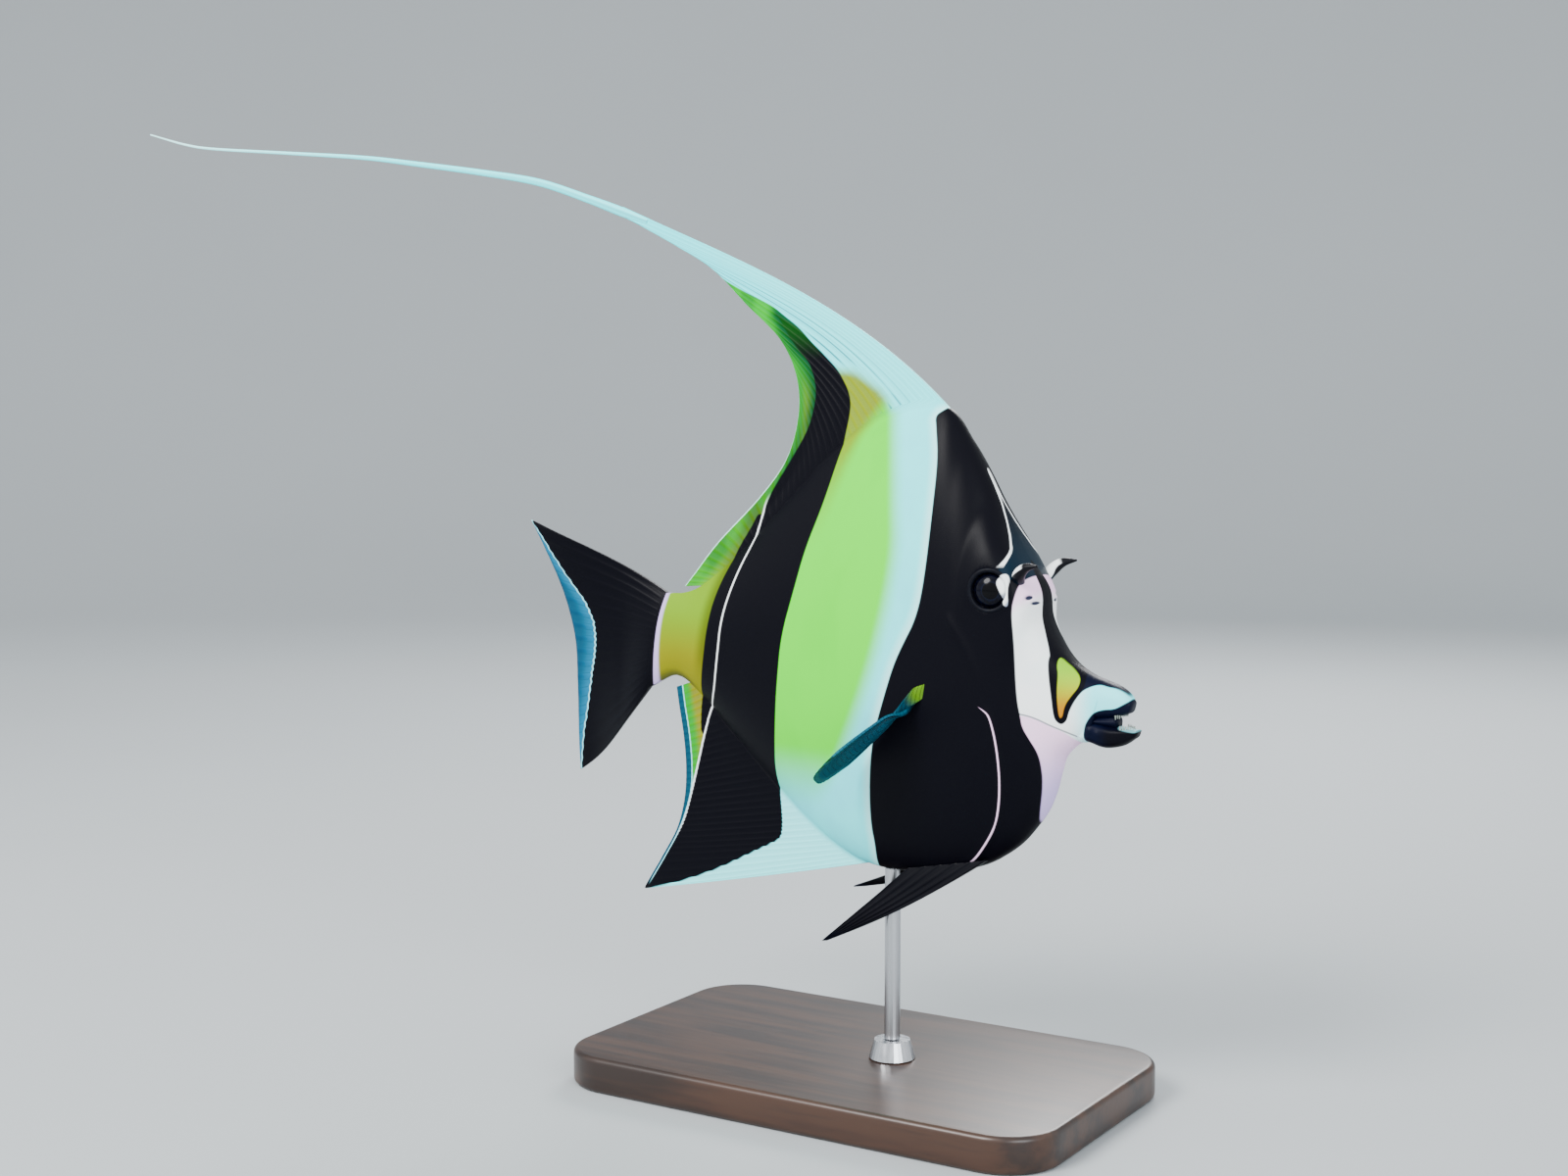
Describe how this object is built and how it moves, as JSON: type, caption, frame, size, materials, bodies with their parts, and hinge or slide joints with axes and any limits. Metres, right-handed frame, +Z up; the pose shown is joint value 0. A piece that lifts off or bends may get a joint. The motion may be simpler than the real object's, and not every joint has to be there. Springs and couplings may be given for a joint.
{
  "type": "moorish idol fish",
  "caption": "Life-size still museum model of a moorish idol fish, Zanclus cornutus, swimming, on a plain base with one short rod.",
  "frame": {"origin": "middle of the underside of the stand's base, which rests on the floor", "axes": "+X the way the fish faces, from its tail fin to its snout; +Z up; its right side is towards -Y"},
  "size_m": [0.3177, 0.09, 0.2754],
  "materials": {
    "skin": "satin",
    "stalk_skin": "satin",
    "black_skin": "satin",
    "fin_membrane": "satin",
    "eye": "gloss",
    "horn": "satin",
    "stand_wood": "satin",
    "stand_steel": "brushed"
  },
  "bodies": {
    "root": {"head": "skin", "torso": "skin", "gill_cover_left": "skin", "gill_cover_right": "skin", "tail_stalk": "stalk_skin", "dorsal_fin_front": "skin", "dorsal_fin_rear": "stalk_skin", "dorsal_whip_near": "skin", "dorsal_whip_far": "skin", "anal_fin": "black_skin", "tail_fin": "black_skin", "upper_jaw": "black_skin", "lower_jaw": "black_skin", "pectoral_fin_left": "fin_membrane", "pectoral_fin_right": "fin_membrane", "pelvic_fin_left": "black_skin", "pelvic_fin_right": "black_skin", "eye_left": "eye", "eye_right": "eye", "horn_left": "horn", "horn_right": "horn", "stand_base": "stand_wood", "stand_collar": "stand_steel", "stand_rod": "stand_steel"}
  },
  "joints": []
}
